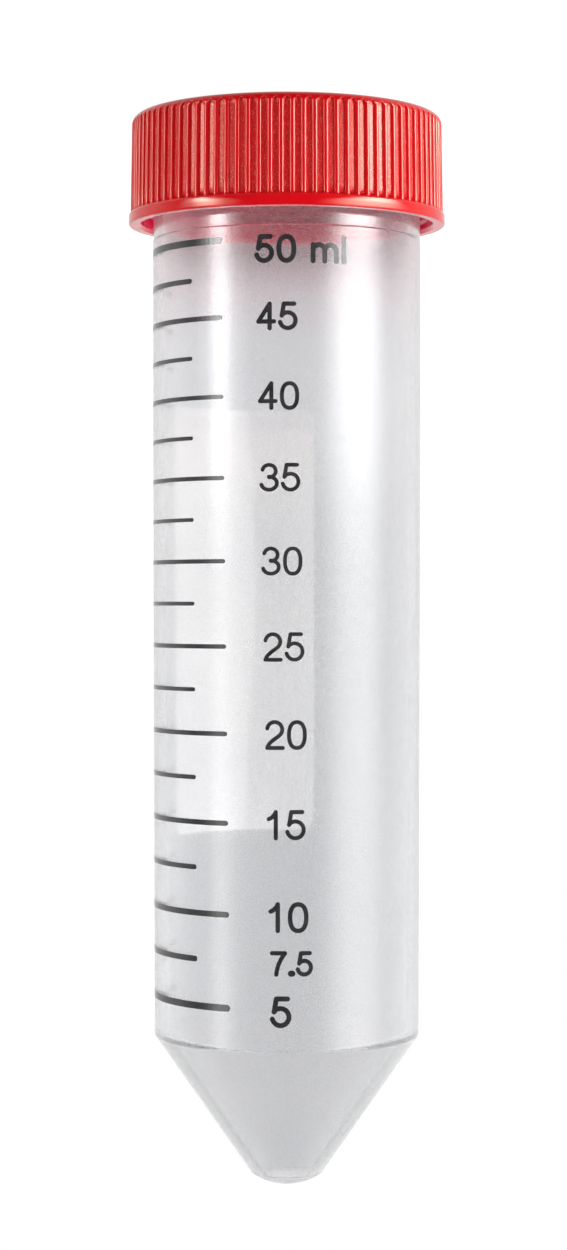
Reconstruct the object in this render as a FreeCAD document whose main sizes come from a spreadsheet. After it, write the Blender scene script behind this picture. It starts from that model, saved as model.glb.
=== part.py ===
"""A 50 ml conical centrifuge tube with its screw cap, in millimetres.

Two mouldings make the whole product: the tube, a drafted cylinder that ends in a cone with a
rounded tip, and the cap, a flat-topped closure with a fluted grip, a smooth flange round its
mouth and a plug that seals inside the tube.  The tube stands on its cap, tip up: Z = 0 is the
flat top of the cap, and +Z runs along the axis of both mouldings towards the tip.
"""
import FreeCAD, Part
import math
import os
import Sketcher

SIZES = [
    # name, value, what it is
    ("collar_radius", 14.5, "outside of the straight stretch below the parting line"),
    ("collar_length", 20.0, "length of that stretch"),
    ("parting_step", 0.05, "how far the tube steps in above the parting line"),
    ("neck_draft", 0.05, "how far the neck narrows towards its rim"),
    ("neck_length", 11.9, "rim to the parting line, just clear of the cap"),
    ("body_draft", 0.2, "how far the tube narrows from the straight stretch to the cone"),
    ("body_length", 97.8, "rim to the start of the cone"),
    ("cone_length", 15.1, "start of the cone to its rounded tip"),
    ("tip_radius", 3.8, "outside of the cone where the tip starts"),
    ("tip_rise", 1.2, "height of the rounded tip"),
    ("rim_wall", 0.85, "wall of the tube at its rim"),
    ("shoulder_wall", 1.3, "wall of the cylinder at the end of its bore"),
    ("cone_wall", 1.3, "wall of the cone, square to its surface"),
    ("floor_thickness", 1.4, "flat floor of the bore to the very tip"),
    ("floor_round", 0.5, "rounding of the floor's corner"),
    ("rim_chamfer", 0.2, "chamfer of both edges of the rim"),
    ("cap_height", 11.8, "flat top of the cap to its mouth"),
    ("thread_gap", 1.3, "neck to the inside of the skirt, the room for the thread"),
    ("skirt_wall", 0.7, "wall of the skirt under a flute, at the flat top"),
    ("flute_depth", 0.33, "height of a rib above the floor beside it"),
    ("grip_draft", 0.17, "how far the ribs lean out from the flat top to the flange"),
    ("flange_reach", 0.2, "how far the smooth ring round the mouth stands out from the ribs"),
    ("flange_height", 1.1, "height of that ring"),
    ("flange_lead", 0.25, "height of the slope from the ribs out to the ring"),
    ("edge_reach", 0.9, "how far the rounded edge of the flat top reaches in and down"),
    ("edge_middle", 0.27, "how far the middle of that edge stands in and down"),
    ("rib_count", 90, "ribs round the grip"),
    ("flute_width", 0.55, "floor of the gap between two ribs"),
    ("flute_flare", 16, "slope of the flutes' walls, in degrees"),
    ("flute_start", 1.15, "flat top to the start of the flutes"),
    ("flute_stop", 0.2, "plain strip between the flutes and the slope of the flange"),
    ("plate_thickness", 1.6, "flat top of the cap, and the seat of the rim"),
    ("mouth_chamfer", 0.3, "lead-in at the mouth of the cap"),
    ("plug_height", 3.0, "how far the plug reaches into the tube"),
    ("plug_wall", 0.95, "thickness of the plug at its root"),
    ("plug_lead", 0.35, "how much the plug narrows towards its end"),
    ("plug_clearance", 0.12, "plug to the bore of the tube, each side"),
    ("corner_lead", 0.4, "slope where the skirt meets the plate inside"),
]

# The sketcher's numbers for its own axes, and for the places on a line or an arc
AXIS = -2
ORIGIN = (-1, 1)
START, END, CENTRE = range(1, 4)

document = FreeCAD.newDocument("conical_tube")
sheet = document.addObject("Spreadsheet::Sheet", "sizes")
for row, (name, value, meaning) in enumerate(SIZES, start=1):
    sheet.set(f"A{row}", meaning)
    sheet.set(f"B{row}", str(value))
    sheet.setAlias(f"B{row}", name)
document.recompute()


def size(terms):
    """Value of a sum of sheet names, such as "cap_height - flange_height"."""
    total = 0.0
    sign = 1.0
    for word in terms.split():
        if word in ("+", "-"):
            sign = 1.0 if word == "+" else -1.0
        else:
            total += sign * float(sheet.get(word))
    return total


def formula(terms):
    """The same sum, written as an expression on the sheet."""
    words = terms.split()
    return " ".join(word if word in ("+", "-") else f"sizes.{word}" for word in words)


def add_body(name):
    """An empty body whose label names its file."""
    body = document.addObject("PartDesign::Body", name)
    body.Label = name
    return body


def add_sketch(body, name, plane):
    """A sketch on one of the body's own origin planes."""
    sketch = body.newObject("Sketcher::SketchObject", name)
    origin_plane = next(item for item in body.Origin.OriginFeatures if item.Role == plane)
    sketch.AttachmentSupport = [(origin_plane, "")]
    sketch.MapMode = "FlatFace"
    return sketch


def add_feature(body, kind, name, sketch):
    """A feature that is made from a sketch."""
    feature = body.newObject(f"PartDesign::{kind}", name)
    feature.Profile = sketch
    sketch.Visibility = False
    return feature


def bind(sketch, constraint, terms):
    """Add a driving dimension and tie it to the sheet."""
    index = sketch.addConstraint(constraint)
    sketch.setExpression(f"Constraints[{index}]", formula(terms))


def pin_point(sketch, line, end, across, up):
    """Hold a point of a sketch at its distances from the axis and from the base."""
    if across == "axis":
        sketch.addConstraint(Sketcher.Constraint("PointOnObject", line, end, AXIS))
    elif across:
        bind(sketch, Sketcher.Constraint("DistanceX", *ORIGIN, line, end, size(across)), across)
    if up == "base":
        sketch.addConstraint(Sketcher.Constraint("PointOnObject", line, end, -1))
    elif up:
        bind(sketch, Sketcher.Constraint("DistanceY", *ORIGIN, line, end, size(up)), up)


def join_ends(sketch, pieces):
    """Join each piece of a closed run to the next."""
    for piece, following in zip(pieces, pieces[1:] + pieces[:1]):
        sketch.addConstraint(Sketcher.Constraint("Coincident", piece, END, following, START))


def add_loop(sketch, corners):
    """Closed run of straight lines through these places."""
    lines = []
    for start, end in zip(corners, corners[1:] + corners[:1]):
        lines.append(sketch.addGeometry(Part.LineSegment(start, end)))
    join_ends(sketch, lines)
    return lines


def spot(across, up):
    """The place at these distances from the axis and the base, given as sums of sheet names."""
    x = 0.0 if across == "axis" else size(across)
    y = 0.0 if up == "base" else size(up)
    return FreeCAD.Vector(x, y, 0)


def add_outline(sketch, corners):
    """Closed run of lines whose corners are held by their distances from the axis and the base."""
    lines = add_loop(sketch, [spot(across, up) for across, up in corners])
    for line, (across, up) in zip(lines, corners):
        pin_point(sketch, line, START, across, up)


def revolve(body, sketch, name):
    """Turn a section once round the sketch's upright axis."""
    solid = add_feature(body, "Revolution", name, sketch)
    solid.ReferenceAxis = (sketch, ["V_Axis"])
    solid.Angle = 360
    document.recompute()
    return solid


def ring_edge(shape, radius, height):
    """Name of the round edge with this radius at this height."""
    for index, edge in enumerate(shape.Edges, start=1):
        curve = edge.Curve
        if isinstance(curve, Part.Circle):
            if math.isclose(curve.Radius, radius, abs_tol=1e-6):
                if math.isclose(curve.Center.z, height, abs_tol=1e-6):
                    return f"Edge{index}"
    raise ValueError(f"no edge of radius {radius} at height {height}")


def dress_rings(body, base, kind, name, rings, amount):
    """Fillet or Chamfer of round edges, each given by its radius and height."""
    dressing = body.newObject(f"PartDesign::{kind}", name)
    dressing.Base = (base, [ring_edge(base.Shape, *ring) for ring in rings])
    dressing.setExpression("Radius" if kind == "Fillet" else "Size", formula(amount))
    document.recompute()
    return dressing


# ---- Radii: the tube's from its straight stretch, and the cap's from the tube's ----

NECK_END_RADIUS = "collar_radius - parting_step"
RIM_RADIUS = f"{NECK_END_RADIUS} - neck_draft"
MOUTH_RADIUS = f"{RIM_RADIUS} - rim_wall"
SHOULDER_RADIUS = "collar_radius - body_draft"
CAP_BORE = f"{NECK_END_RADIUS} + thread_gap"
FLUTE_FLOOR = f"{CAP_BORE} + skirt_wall"
CREST_START = f"{FLUTE_FLOOR} + flute_depth"
CREST_END = f"{CREST_START} + grip_draft"
FLANGE_RADIUS = f"{CREST_END} + flange_reach"
PLUG_RADIUS = f"{MOUTH_RADIUS} - plug_clearance"

# ---- Cap: one moulding, open towards +Z, its flat top on Z = 0 ----

FLANGE_START = "cap_height - flange_height"
GRIP_END = f"{FLANGE_START} - flange_lead"
FLUTE_END = f"{GRIP_END} - flute_stop"
PLUG_END = "plate_thickness + plug_height"


def make_cap():
    """Drafted skirt, flange, mouth, plug seal and fluted grip."""
    body = add_body("cap")
    section = add_sketch(body, "cap_section", "XZ_Plane")
    add_outline(section, [
        ("axis", "base"),
        (f"{CREST_START} - edge_reach", "base"),
        (f"{CREST_START} - edge_middle", "edge_middle"),
        (CREST_START, "edge_reach"),
        (CREST_END, GRIP_END),
        (FLANGE_RADIUS, FLANGE_START),
        (FLANGE_RADIUS, "cap_height"),
        (f"{CAP_BORE} + mouth_chamfer", "cap_height"),
        (CAP_BORE, "cap_height - mouth_chamfer"),
        (CAP_BORE, "plate_thickness + corner_lead"),
        (f"{CAP_BORE} - corner_lead", "plate_thickness"),
        (PLUG_RADIUS, "plate_thickness"),
        (PLUG_RADIUS, f"{PLUG_END} - plug_lead"),
        (f"{PLUG_RADIUS} - plug_lead", PLUG_END),
        (f"{PLUG_RADIUS} - plug_wall", PLUG_END),
        (f"{PLUG_RADIUS} - plug_wall", "plate_thickness"),
        ("axis", "plate_thickness"),
    ])
    revolve(body, section, "cap_shell")
    add_flutes(body)
    return body


def add_flutes(body):
    """Cut one flute from its drafted floor outwards, and repeat it round the cap."""
    slot = add_sketch(body, "flute_slot", "XZ_Plane")
    slot.AttachmentOffset = FreeCAD.Placement(
        FreeCAD.Vector(0, 0, size(FLUTE_FLOOR)),
        FreeCAD.Rotation(FreeCAD.Vector(1, 0, 0), 1.0),
    )
    slot.setExpression("AttachmentOffset.Base.z", formula(FLUTE_FLOOR))
    lean = f"atan({formula('grip_draft')} / ({formula(GRIP_END)}))"
    slot.setExpression("AttachmentOffset.Rotation.Angle", lean)
    width = size("flute_width")
    low = FreeCAD.Vector(0, size("flute_start"), 0)
    high = FreeCAD.Vector(0, size(FLUTE_END), 0)
    half = FreeCAD.Vector(width / 2, 0, 0)
    bottom, right, top, left = add_loop(slot, [low - half, low + half, high + half, high - half])
    slot.addConstraint(Sketcher.Constraint("Vertical", right))
    slot.addConstraint(Sketcher.Constraint("Vertical", left))
    slot.addConstraint(Sketcher.Constraint("Horizontal", bottom))
    slot.addConstraint(Sketcher.Constraint("Symmetric", top, START, top, END, AXIS))
    bind(slot, Sketcher.Constraint("DistanceX", bottom, START, bottom, END, width), "flute_width")
    pin_point(slot, bottom, START, "", "flute_start")
    pin_point(slot, top, START, "", FLUTE_END)

    flute = add_feature(body, "Pocket", "flute", slot)
    flute.Type = "Length"
    flute.setExpression("Length", "sizes.flute_depth * 3")
    flute.setExpression("TaperAngle", formula("flute_flare"))
    flute.Reversed = True
    document.recompute()

    grip = body.newObject("PartDesign::PolarPattern", "grip")
    grip.Originals = [flute]
    turning_axis = next(item for item in body.Origin.OriginFeatures if item.Role == "Z_Axis")
    grip.Axis = (turning_axis, [""])
    grip.Angle = 360
    grip.setExpression("Occurrences", formula("rib_count"))
    body.Tip = grip


# ---- Tube: one moulding, its rim seated on the plate of the cap ----

COLLAR_END = "neck_length + collar_length"
TIP_START = "body_length + cone_length"
TIP_END = f"{TIP_START} + tip_rise"
FLOOR = f"{TIP_END} - floor_thickness"


def make_tube():
    """Wall section from rim to tip, turned once, with its edges rounded."""
    body = add_body("tube")
    body.setExpression("Placement.Base.z", formula("plate_thickness"))
    section = add_sketch(body, "tube_section", "XZ_Plane")
    mouth = spot(MOUTH_RADIUS, "base")
    rim = spot(RIM_RADIUS, "base")
    neck_end = spot(NECK_END_RADIUS, "neck_length")
    collar_start = spot("collar_radius", "neck_length")
    collar_end = spot("collar_radius", COLLAR_END)
    shoulder = spot(SHOULDER_RADIUS, "body_length")
    tip_corner = spot("tip_radius", TIP_START)
    tip = spot("axis", TIP_END)
    floor_centre = spot("axis", FLOOR)
    floor_corner = FreeCAD.Vector(tip_corner.x / 2, floor_centre.y, 0)
    bore_end = spot(f"{SHOULDER_RADIUS} - shoulder_wall", "body_length")
    rise = tip.y - tip_corner.y
    tip_sphere = (tip_corner.x ** 2 + rise ** 2) / (2 * rise)
    centre = FreeCAD.Vector(0, tip.y - tip_sphere, 0)
    corner_angle = math.asin((tip_corner.y - centre.y) / tip_sphere)
    circle = Part.Circle(centre, FreeCAD.Vector(0, 0, 1), tip_sphere)

    lip = section.addGeometry(Part.LineSegment(mouth, rim))
    neck = section.addGeometry(Part.LineSegment(rim, neck_end))
    step = section.addGeometry(Part.LineSegment(neck_end, collar_start))
    collar = section.addGeometry(Part.LineSegment(collar_start, collar_end))
    outside = section.addGeometry(Part.LineSegment(collar_end, shoulder))
    cone = section.addGeometry(Part.LineSegment(shoulder, tip_corner))
    nose = section.addGeometry(Part.ArcOfCircle(circle, corner_angle, math.pi / 2))
    middle = section.addGeometry(Part.LineSegment(tip, floor_centre))
    floor = section.addGeometry(Part.LineSegment(floor_centre, floor_corner))
    inner_cone = section.addGeometry(Part.LineSegment(floor_corner, bore_end))
    bore = section.addGeometry(Part.LineSegment(bore_end, mouth))
    loop = [lip, neck, step, collar, outside, cone, nose, middle, floor, inner_cone, bore]
    join_ends(section, loop)

    pin_point(section, lip, START, MOUTH_RADIUS, "base")
    pin_point(section, neck, START, RIM_RADIUS, "base")
    pin_point(section, step, START, NECK_END_RADIUS, "neck_length")
    pin_point(section, collar, START, "collar_radius", "neck_length")
    pin_point(section, outside, START, "collar_radius", COLLAR_END)
    pin_point(section, cone, START, SHOULDER_RADIUS, "body_length")
    pin_point(section, nose, START, "tip_radius", TIP_START)
    pin_point(section, nose, CENTRE, "axis", "")
    pin_point(section, middle, START, "axis", TIP_END)
    pin_point(section, floor, START, "axis", FLOOR)
    section.addConstraint(Sketcher.Constraint("Horizontal", floor))
    section.addConstraint(Sketcher.Constraint("Parallel", inner_cone, cone))
    pin_point(section, bore, START, f"{SHOULDER_RADIUS} - shoulder_wall", "")
    wall = Sketcher.Constraint("Distance", inner_cone, START, cone, size("cone_wall"))
    bind(section, wall, "cone_wall")

    shell = revolve(body, section, "tube_shell")
    rim_edges = [(mouth.x, 0.0), (rim.x, 0.0)]
    eased = dress_rings(body, shell, "Chamfer", "rim_edges", rim_edges, "rim_chamfer")
    floor_radius = section.Geometry[floor].EndPoint.x
    floor_edge = [(floor_radius, floor_centre.y)]
    body.Tip = dress_rings(body, eased, "Fillet", "floor_corner", floor_edge, "floor_round")
    return body


def check_document():
    """Stop if any object failed to build."""
    for item in document.Objects:
        if "Invalid" in item.State or "Error" in item.State:
            raise RuntimeError(f"{item.Label} did not build: {item.State}")


def export(body):
    """Write one moulding to its own file."""
    shape = body.Shape
    if shape.isNull() or not shape.isValid() or len(shape.Solids) != 1:
        raise RuntimeError(f"{body.Label} is not one sound solid")
    shape.exportStep(f"parts/{body.Label}.step")
    print(f"{body.Label}: {shape.Volume:.1f} mm3, {len(shape.Faces)} faces")


mouldings = [make_cap(), make_tube()]
document.recompute()
check_document()
os.makedirs("parts", exist_ok=True)
for moulding in mouldings:
    export(moulding)
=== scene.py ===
# %% [markdown]
# # A 50 ml conical tube, standing on its screw cap
# The product has two mouldings. The tube is milky, see-through polypropylene: a long, barely
# tapered cylinder that ends in a cone. The cap is red polyethylene with ninety ribs round its
# grip. A scale, its figures and a white writing panel are printed on the tube.
# The lesson goes from large to fine: sizes, helpers, thread, cap, tube, print, finishes. The
# stage, its lamps and the camera come last.

# %% Load the measured model
import math

import bpy
import numpy as np
from mathutils import Matrix, Vector


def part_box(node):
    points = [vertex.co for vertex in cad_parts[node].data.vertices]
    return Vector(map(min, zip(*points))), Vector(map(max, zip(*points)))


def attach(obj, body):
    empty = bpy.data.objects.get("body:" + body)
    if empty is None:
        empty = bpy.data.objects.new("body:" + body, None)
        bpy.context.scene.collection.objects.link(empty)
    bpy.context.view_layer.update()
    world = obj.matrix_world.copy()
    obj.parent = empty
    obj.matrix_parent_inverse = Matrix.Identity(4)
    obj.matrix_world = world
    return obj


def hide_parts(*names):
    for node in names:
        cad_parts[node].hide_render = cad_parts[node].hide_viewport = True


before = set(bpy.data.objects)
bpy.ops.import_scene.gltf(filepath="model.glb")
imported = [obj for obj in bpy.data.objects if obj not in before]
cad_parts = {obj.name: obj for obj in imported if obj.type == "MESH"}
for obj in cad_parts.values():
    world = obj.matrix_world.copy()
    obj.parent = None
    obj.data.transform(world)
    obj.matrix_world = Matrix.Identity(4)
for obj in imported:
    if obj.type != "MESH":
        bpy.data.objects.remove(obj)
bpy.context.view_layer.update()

MM = 0.001
_, cap_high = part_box("cap")
tube_low, tube_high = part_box("tube")

# %% [markdown]
# ## Sizes
# The measured model says where the big forms are, so heights and radii that it knows are read
# from it. What it leaves out, such as the thread and the roundings, gets its own named size.
# Everything is written in millimetres here and turned into metres when a mesh is made.

# %% Sizes of the two mouldings
MOUTH = cap_high.z / MM          # the cap's open end
RIM = tube_low.z / MM            # the tube's rim rests on the cap's plate
TIP = tube_high.z / MM           # the very end of the cone
FLANGE_RADIUS = cap_high.x / MM
BODY_RADIUS = tube_high.x / MM

CREST_START = FLANGE_RADIUS - 0.37   # crown of the ribs at the flat top
CREST_END = FLANGE_RADIUS - 0.20     # and where the flange begins, a little wider
RIB_HEIGHT = 0.33
RIB_COUNT = 90
NECK_RADIUS = BODY_RADIUS - 0.05
RIM_RADIUS = NECK_RADIUS - 0.05
MOUTH_RADIUS = RIM_RADIUS - 0.85
CAP_BORE = NECK_RADIUS + 1.3
PARTING = RIM + 11.9             # fine line round the tube, just clear of the cap
STRAIGHT_END = PARTING + 20.0
SHOULDER = RIM + 97.8            # where the cylinder meets the cone
SHOULDER_RADIUS = BODY_RADIUS - 0.2
print("cap radius", round(FLANGE_RADIUS, 2), "tube radius", round(BODY_RADIUS, 2),
      "tip", round(TIP, 2))

# %% [markdown]
# ## Helpers
# A moulded wall is easiest to draw as its section: a run of corners, each with its rounding.
# No moulded corner is knife-sharp, and it is the small roundings that catch the light.

# %% Round the corners of a section
def soften(corners, steps=5):
    """Points along a run of corners (x, z, rounding), with an arc in place of each corner."""
    points = []
    for index, (x, z, rounding) in enumerate(corners):
        corner = Vector((x, z))
        if rounding == 0 or index in (0, len(corners) - 1):
            points.append(corner)
            continue
        back = (Vector(corners[index - 1][:2]) - corner).normalized()
        ahead = (Vector(corners[index + 1][:2]) - corner).normalized()
        half = back.angle(ahead) / 2
        reach = rounding / math.tan(half)
        centre = corner + (back + ahead).normalized() * rounding / math.sin(half)
        start, end = corner + back * reach - centre, corner + ahead * reach - centre
        turn = start.angle_signed(end)
        for step in range(steps + 1):
            points.append(centre + Matrix.Rotation(-turn * step / steps, 2) @ start)
    return points


def refine(points, gap, low, high):
    """Divide the runs that lie between two heights, so that a later tool has points to move."""
    finer = [points[0]]
    for before, after in zip(points, points[1:]):
        inside = low <= min(before.y, after.y) or max(before.y, after.y) <= high
        crosses = min(before.y, after.y) < high and max(before.y, after.y) > low
        count = max(1, round((after - before).length / gap)) if inside and crosses else 1
        finer += [before.lerp(after, step / count) for step in range(1, count + 1)]
    return finer


def hold(points, gap=0.05):
    """Add a point close to each end of a long run, to keep the shading of its ends short."""
    held = [points[0]]
    for before, after in zip(points, points[1:]):
        length = (after - before).length
        if length > 5 * gap:
            held += [before.lerp(after, gap / length), after.lerp(before, gap / length)]
        held.append(after)
    return held


# %% Turn lists of points and faces into an object
def make_object(name, points, faces=(), edges=()):
    """A new object at the origin, its points given in millimetres."""
    mesh = bpy.data.meshes.new(name)
    mesh.from_pydata([Vector(p) * MM for p in points], edges, faces)
    mesh.update()
    piece = bpy.data.objects.new(name, mesh)
    bpy.context.scene.collection.objects.link(piece)
    return piece


def point_outwards(mesh):
    """Turn a closed shell the right way round if its enclosed volume comes out negative."""
    mesh.calc_loop_triangles()
    places = np.empty(len(mesh.vertices) * 3)
    mesh.vertices.foreach_get("co", places)
    corners = np.empty(len(mesh.loop_triangles) * 3, int)
    mesh.loop_triangles.foreach_get("vertices", corners)
    a, b, c = places.reshape(-1, 3)[corners.reshape(-1, 3)].transpose(1, 0, 2)
    volume = float((a * np.cross(b, c)).sum() / 6)
    if volume < 0:
        mesh.flip_normals()
    return abs(volume)


# %% [markdown]
# ## Nodes from a script
# Ribs, thread turns and scale lines repeat by a rule, so Geometry Nodes make them. Materials
# are nodes too. `Writer` keeps the script short for both: it adds a node, feeds its inputs
# with values or other nodes' outputs, and hands back the output to use next. `Tree` is a
# writer for a group, which has named inputs and outputs of its own.

# %% A small writer for nodes
class Writer:
    """Writes nodes into one group or material."""

    def __init__(self, group):
        self.group = group

    def add(self, kind, *feeds, out=0, named=None, **settings):
        """Add a node, set its options, feed its inputs in order or by name."""
        node = self.group.nodes.new(kind)
        for key, value in settings.items():
            setattr(node, key, value)
        pairs = list(zip([s for s in node.inputs if s.enabled], feeds))
        pairs += [(self.socket(node.inputs, key), value) for key, value in (named or {}).items()]
        for socket, value in pairs:
            if isinstance(value, bpy.types.NodeSocket):
                self.group.links.new(value, socket)
            elif value is not None:
                socket.default_value = (*value, 1.0) if socket.type == "RGBA" else value
        return self.socket(node.outputs, out) if node.outputs else node

    @staticmethod
    def socket(sockets, key):
        live = [s for s in sockets if s.enabled]
        return live[key] if isinstance(key, int) else next(s for s in live if s.name == key)

    def math(self, operation, *feeds):
        return self.add("ShaderNodeMath", *feeds, operation=operation)

    def plus(self, a, b):
        return self.math("ADD", a, b)

    def minus(self, a, b):
        return self.math("SUBTRACT", a, b)

    def times(self, a, b):
        return self.math("MULTIPLY", a, b)

    def over(self, a, b):
        return self.math("DIVIDE", a, b)

    def ramp(self, value, low, high, start=0.0, end=1.0, kind="LINEAR"):
        """From start, where the value is low, to end, where it is high, and level beyond."""
        return self.add("ShaderNodeMapRange", value, low, high, start, end, interpolation_type=kind)

    def smooth(self, value, low, high, start=0.0, end=1.0):
        return self.ramp(value, low, high, start, end, "SMOOTHSTEP")

    def split(self, vector):
        """X, Y and Z of a vector output."""
        return self.add("ShaderNodeSeparateXYZ", vector).node.outputs


class Tree(Writer):
    """Writes one node group, with inputs (label, kind, value) and outputs (label, kind)."""

    def __init__(self, name, inputs, outputs=(("Geometry", "NodeSocketGeometry"),),
                 family="GeometryNodeTree"):
        super().__init__(bpy.data.node_groups.new(name, family))
        for label, kind, *value in inputs:
            socket = self.group.interface.new_socket(label, in_out="INPUT", socket_type=kind)
            if value:
                socket.default_value = value[0]
        for label, kind in outputs:
            self.group.interface.new_socket(label, in_out="OUTPUT", socket_type=kind)
        self.source = self.group.nodes.new("NodeGroupInput")
        self.result = self.group.nodes.new("NodeGroupOutput")

    def given(self, label):
        return self.source.outputs[label]

    def copies(self, shape, count, rotation=None):
        """A number of real copies of a shape, all in its own place, or turned about the origin."""
        spots = self.add("GeometryNodeMeshLine", count, None, (0, 0, 0), (0, 0, 0), out="Mesh")
        copies = self.add("GeometryNodeInstanceOnPoints", named={
            "Points": spots, "Instance": shape, "Rotation": rotation})
        return self.add("GeometryNodeRealizeInstances", copies)

    def size(self, shape):
        """How many points a shape has."""
        return self.add("GeometryNodeAttributeDomainSize", shape, component="MESH",
                        out="Point Count")

    def finish(self, *results):
        for socket, value in zip(self.result.inputs, results):
            self.group.links.new(value, socket)
        return self.group


def run_tree(piece, group, **inputs):
    """Give a piece the tree's result as its plain mesh. Inputs are set by identifier."""
    modifier = piece.modifiers.new(group.name, "NODES")
    modifier.node_group = group
    for item in group.interface.items_tree:
        key = item.name.replace(" ", "_")
        if item.item_type == "SOCKET" and item.in_out == "INPUT" and key in inputs:
            modifier[item.identifier] = inputs[key]
    depsgraph = bpy.context.evaluated_depsgraph_get()
    result = bpy.data.meshes.new_from_object(
        piece.evaluated_get(depsgraph), preserve_all_data_layers=True, depsgraph=depsgraph)
    piece.modifiers.remove(modifier)
    old, piece.data = piece.data, result
    bpy.data.meshes.remove(old)
    result.name = piece.name
    return piece


# %% [markdown]
# ## The screw thread
# Cap and neck carry the same right-hand thread: a rounded ridge that winds a little over two
# turns. It could be a profile swept along a helix and joined to the wall, but a joined sweep
# leaves an edge buried in a see-through wall. Here the wall itself is moved instead: the
# height of a point, less its share of a turn, says how far it is from the middle of the ridge.

# %% Tree: raise a thread on a round wall
CROWN, FOOT = 0.22, 0.62         # where a ridge's crown and foot end, in shares of its width
RUN_IN = 0.35                    # share of a turn in which the ridge grows from nothing
NEAR_WALL = 0.08                 # how far a point may be from the wall and still be moved


def thread_tree():
    tree = Tree("raise_thread", [
        ("Geometry", "NodeSocketGeometry"),
        ("Core Radius", "NodeSocketFloat", NECK_RADIUS * MM),
        ("Ridge Height", "NodeSocketFloat", 0.95 * MM),
        ("Ridge Width", "NodeSocketFloat", 1.1 * MM),
        ("Pitch", "NodeSocketFloat", 3.2 * MM),
        ("First Height", "NodeSocketFloat", 0.0),
        ("Last Height", "NodeSocketFloat", 0.01),
        ("Outwards", "NodeSocketFloat", 1.0),
    ])
    pitch, width = tree.given("Pitch"), tree.given("Ridge Width")
    first, last = tree.given("First Height"), tree.given("Last Height")
    x, y, z = tree.split(tree.add("GeometryNodeInputPosition"))
    radius = tree.math("SQRT", tree.plus(tree.times(x, x), tree.times(y, y)))
    turn = tree.over(tree.math("ARCTAN2", y, x), math.tau)
    climb = tree.over(tree.minus(z, first), pitch)
    phase = tree.math("FRACT", tree.minus(climb, turn))
    away = tree.times(tree.math("ABSOLUTE", tree.minus(phase, 0.5)), pitch)
    ridge = tree.smooth(away, tree.times(width, CROWN), tree.times(width, FOOT), 1.0, 0.0)
    fade = tree.times(pitch, RUN_IN)
    rising = tree.smooth(z, first, tree.plus(first, fade))
    falling = tree.smooth(z, tree.minus(last, fade), last, 1.0, 0.0)
    lift = tree.times(tree.times(rising, falling), tree.times(ridge, tree.given("Ridge Height")))
    lift = tree.times(lift, tree.given("Outwards"))
    off_wall = tree.math("ABSOLUTE", tree.minus(radius, tree.given("Core Radius")))
    on_wall = tree.math("LESS_THAN", off_wall, NEAR_WALL * MM)
    grow = tree.over(lift, radius)
    move = tree.add("ShaderNodeCombineXYZ", tree.times(x, grow), tree.times(y, grow), 0.0)
    moved = tree.add("GeometryNodeSetPosition", tree.given("Geometry"), on_wall, None, move)
    return tree.finish(tree.add("GeometryNodeRealizeInstances", moved))


raise_thread = thread_tree()

# %% [markdown]
# ## The cap's grip
# The real cap has ninety equal flutes. Between two of them stands a rounded rib. The floor of
# a flute is flat and finely grained. It starts in a small arch, within the rounded edge of
# the top, and runs out on the slope of the smooth flange. Ninety cuts into a turned cap would
# need ninety Booleans, so only one ninetieth is drawn: a four-degree slice of the whole wall,
# outside and inside. Geometry Nodes then set ninety slices round the axis.

# %% Shape of the outside at one angle and height
HALF_SLICE = 180 / RIB_COUNT
RIB_EDGE = 1.12                  # half a rib, in degrees
EDGE = 0.9                       # rounding round the top
ARCH = 0.3                       # rise of the arch at a flute's start
SINK = 0.24                      # height over which the wall sinks to the floor of a flute
FLUTE_START, FLUTE_STOP = 0.45, MOUTH - 1.55
FLANGE_START = MOUTH - 1.1


def rib_share(angle):
    """1 on the crown of a rib, 0 on the floor beside it."""
    across = min(1.0, abs(angle) / RIB_EDGE)
    return (1 - across ** 2.4) ** 0.62


def flute_start(angle):
    """Height at which the wall begins to sink, lowest in the middle of a flute."""
    aside = min(1.0, (HALF_SLICE - abs(angle)) / (HALF_SLICE - RIB_EDGE))
    return FLUTE_START + ARCH * (1 - math.sqrt(1 - 0.98 * aside ** 2))


def outside_radius(angle, height):
    """Radius of the fluted wall, which the flange's slope overtakes."""
    crest = CREST_START + (CREST_END - CREST_START) * height / FLANGE_START
    sunk = min(1.0, max(0.0, (height - flute_start(angle)) / SINK))
    sunk = sunk * sunk * (3 - 2 * sunk)
    wall = crest - RIB_HEIGHT * sunk * (1 - rib_share(angle))
    if height < EDGE:
        return min(wall, CREST_START - EDGE + math.sqrt(EDGE ** 2 - (EDGE - height) ** 2))
    if height <= FLUTE_STOP:
        return wall
    floor = crest - RIB_HEIGHT
    slope = floor + (FLANGE_RADIUS - floor) * (height - FLUTE_STOP) / (FLANGE_START - FLUTE_STOP)
    return max(wall, slope) if height < FLANGE_START else FLANGE_RADIUS


# %% Section of the cap's inside: mouth, thread wall, seat of the rim, plug, plate
PLUG_RADIUS = MOUTH_RADIUS - 0.12
PLUG_WALL, PLUG_HEIGHT = 0.95, 3.0


def cap_inside():
    plug_end, plug_inside = RIM + PLUG_HEIGHT, PLUG_RADIUS - PLUG_WALL
    corners = [
        (CAP_BORE + 0.6, MOUTH, 0), (CAP_BORE + 0.3, MOUTH, 0.1), (CAP_BORE, MOUTH - 0.3, 0.3),
        (CAP_BORE, RIM, 0.45), (PLUG_RADIUS, RIM, 0.2), (PLUG_RADIUS, plug_end, 0.5),
        (plug_inside, plug_end, 0.25), (plug_inside, RIM, 0.3), (6.0, RIM, 0),
    ]
    return refine(soften(corners), 0.2, RIM + 0.5, MOUTH - 0.4)


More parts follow.
